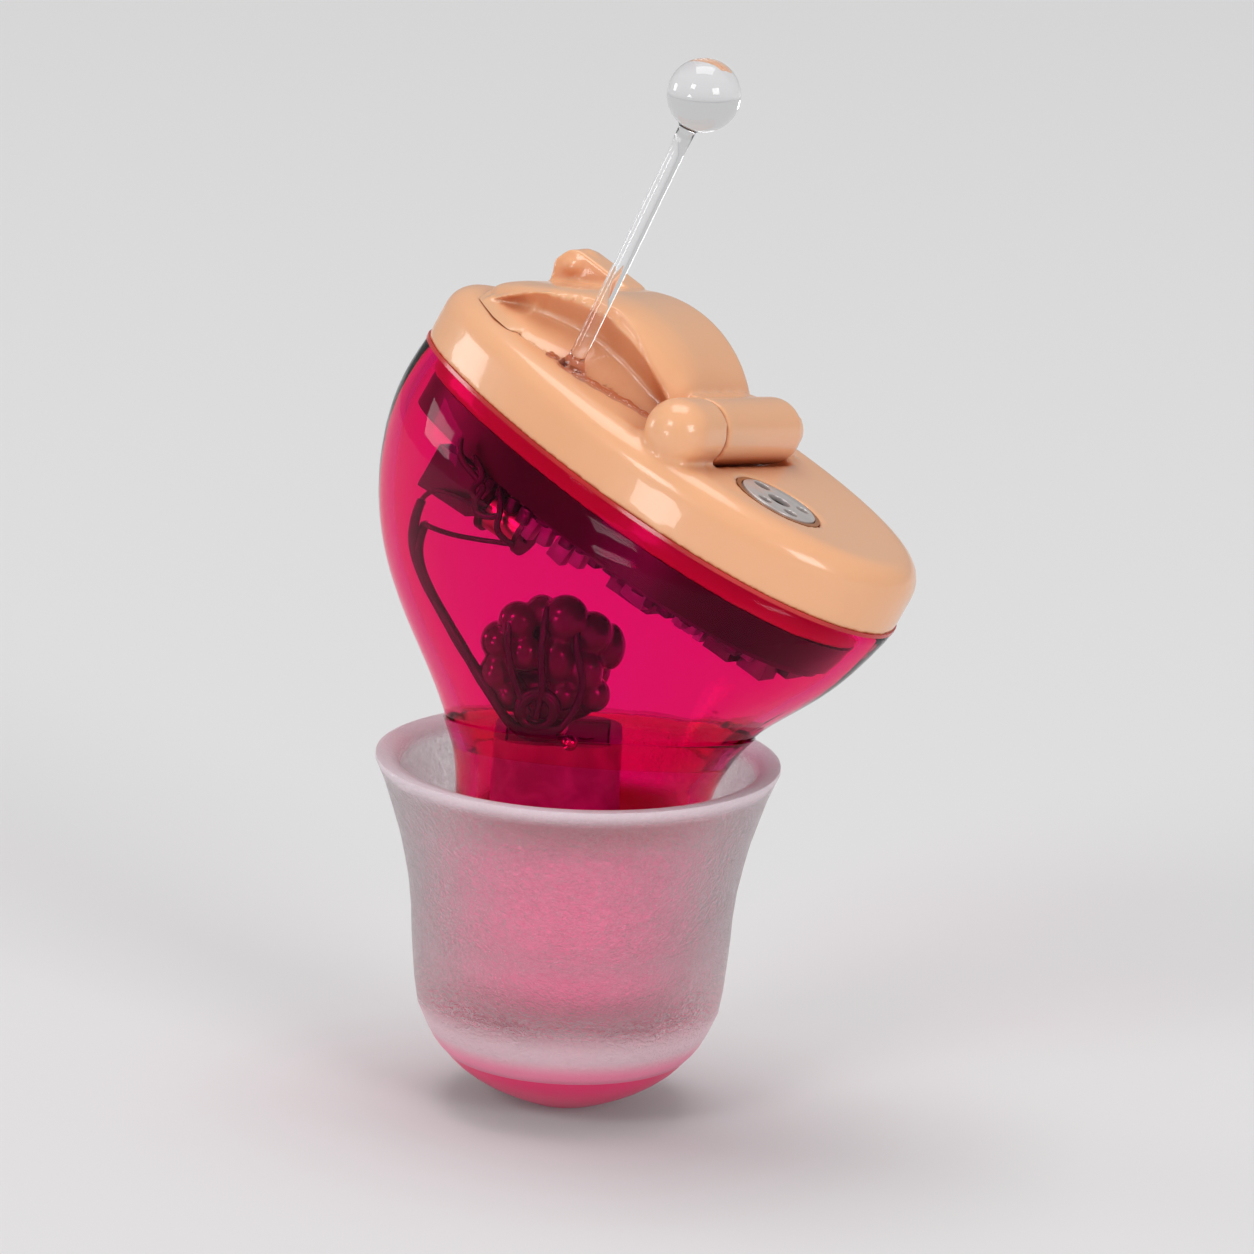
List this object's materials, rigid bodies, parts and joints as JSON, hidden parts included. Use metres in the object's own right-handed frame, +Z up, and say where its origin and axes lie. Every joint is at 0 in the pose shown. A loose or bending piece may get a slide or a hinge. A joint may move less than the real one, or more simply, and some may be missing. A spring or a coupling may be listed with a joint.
{
  "type": "hearing aid",
  "caption": "In-canal hearing aid: see-through tinted shell, tilted faceplate with hinged battery door, microphone and pull cord, and a soft frosted sleeve on its nozzle.",
  "frame": {"origin": "centre of the sound outlet's mouth, in the tip of the ear sleeve", "axes": "+Z up the ear canal's axis, out of the ear; +X towards the microphone end of the tilted faceplate; +Y across it, away from the pull cord's side"},
  "size_m": [0.0148, 0.0102, 0.0273],
  "materials": {
    "shell": "tinted see-through acrylic, polished",
    "bond": "clear red adhesive",
    "faceplate": "skin-tone acrylic, polished",
    "steel": "bright",
    "cell_steel": "nickel plated",
    "gasket": "moulded",
    "contact": "gold plated spring strip",
    "mic_case": "satin",
    "mic_seal": "amber silicone",
    "mic_cover": "polished, pierced",
    "frame": "black moulding",
    "board": "flexible circuit",
    "chip": "encapsulated",
    "capacitor": "ceramic",
    "copper": "enamelled winding",
    "boot": "soft see-through silicone",
    "lobes": "soft silicone, glossy",
    "lead": "enamelled wire",
    "solder": "solder",
    "clear": "clear nylon",
    "wax_guard": "white moulding",
    "silicone": "frosted see-through silicone",
    "core": "pink see-through silicone"
  },
  "bodies": {
    "aid": {"upper_shell": "shell", "nozzle_shell": "shell", "bond_line": "bond", "faceplate": "faceplate", "hinge_pin": "steel", "negative_contact": "contact", "positive_contact": "contact", "microphone": "mic_case", "mic_seal": "mic_seal", "mic_cover": "mic_cover", "electronics_frame": "frame", "circuit_board": "board", "sound_processor_chip": "chip", "amplifier_chip": "chip", "memory_chips": "chip", "capacitors": "capacitor", "tuning_ring": "frame", "telecoil_bobbin": "frame", "telecoil_winding": "copper", "programming_socket": "frame", "receiver": "steel", "receiver_boot": "boot", "receiver_terminals": "board", "terminal_cover": "lobes", "sound_tube": "boot", "receiver_leads": "lead", "solder_beads": "solder", "adhesive_bead": "clear", "cord_collar": "clear", "pull_cord": "clear", "pull_ball": "clear", "wax_guard": "wax_guard"},
    "door": {"battery_door": "faceplate", "battery_can": "cell_steel", "battery_cap": "cell_steel", "battery_gasket": "gasket"},
    "sleeve": {"sleeve_bell": "silicone", "sleeve_core": "core"}
  },
  "joints": [
    {"name": "battery_door_hinge", "type": "hinge", "parent": "aid", "child": "door", "pos_m": [0.00378, 0.00048, 0.01796], "axis": [-0.0762, 0.9813, -0.1768], "range_deg": [0, 95]},
    {"name": "sleeve_pull_off", "type": "slide", "parent": "aid", "child": "sleeve", "axis": [0, 0, -1], "range_m": [0, 0.009]}
  ]
}
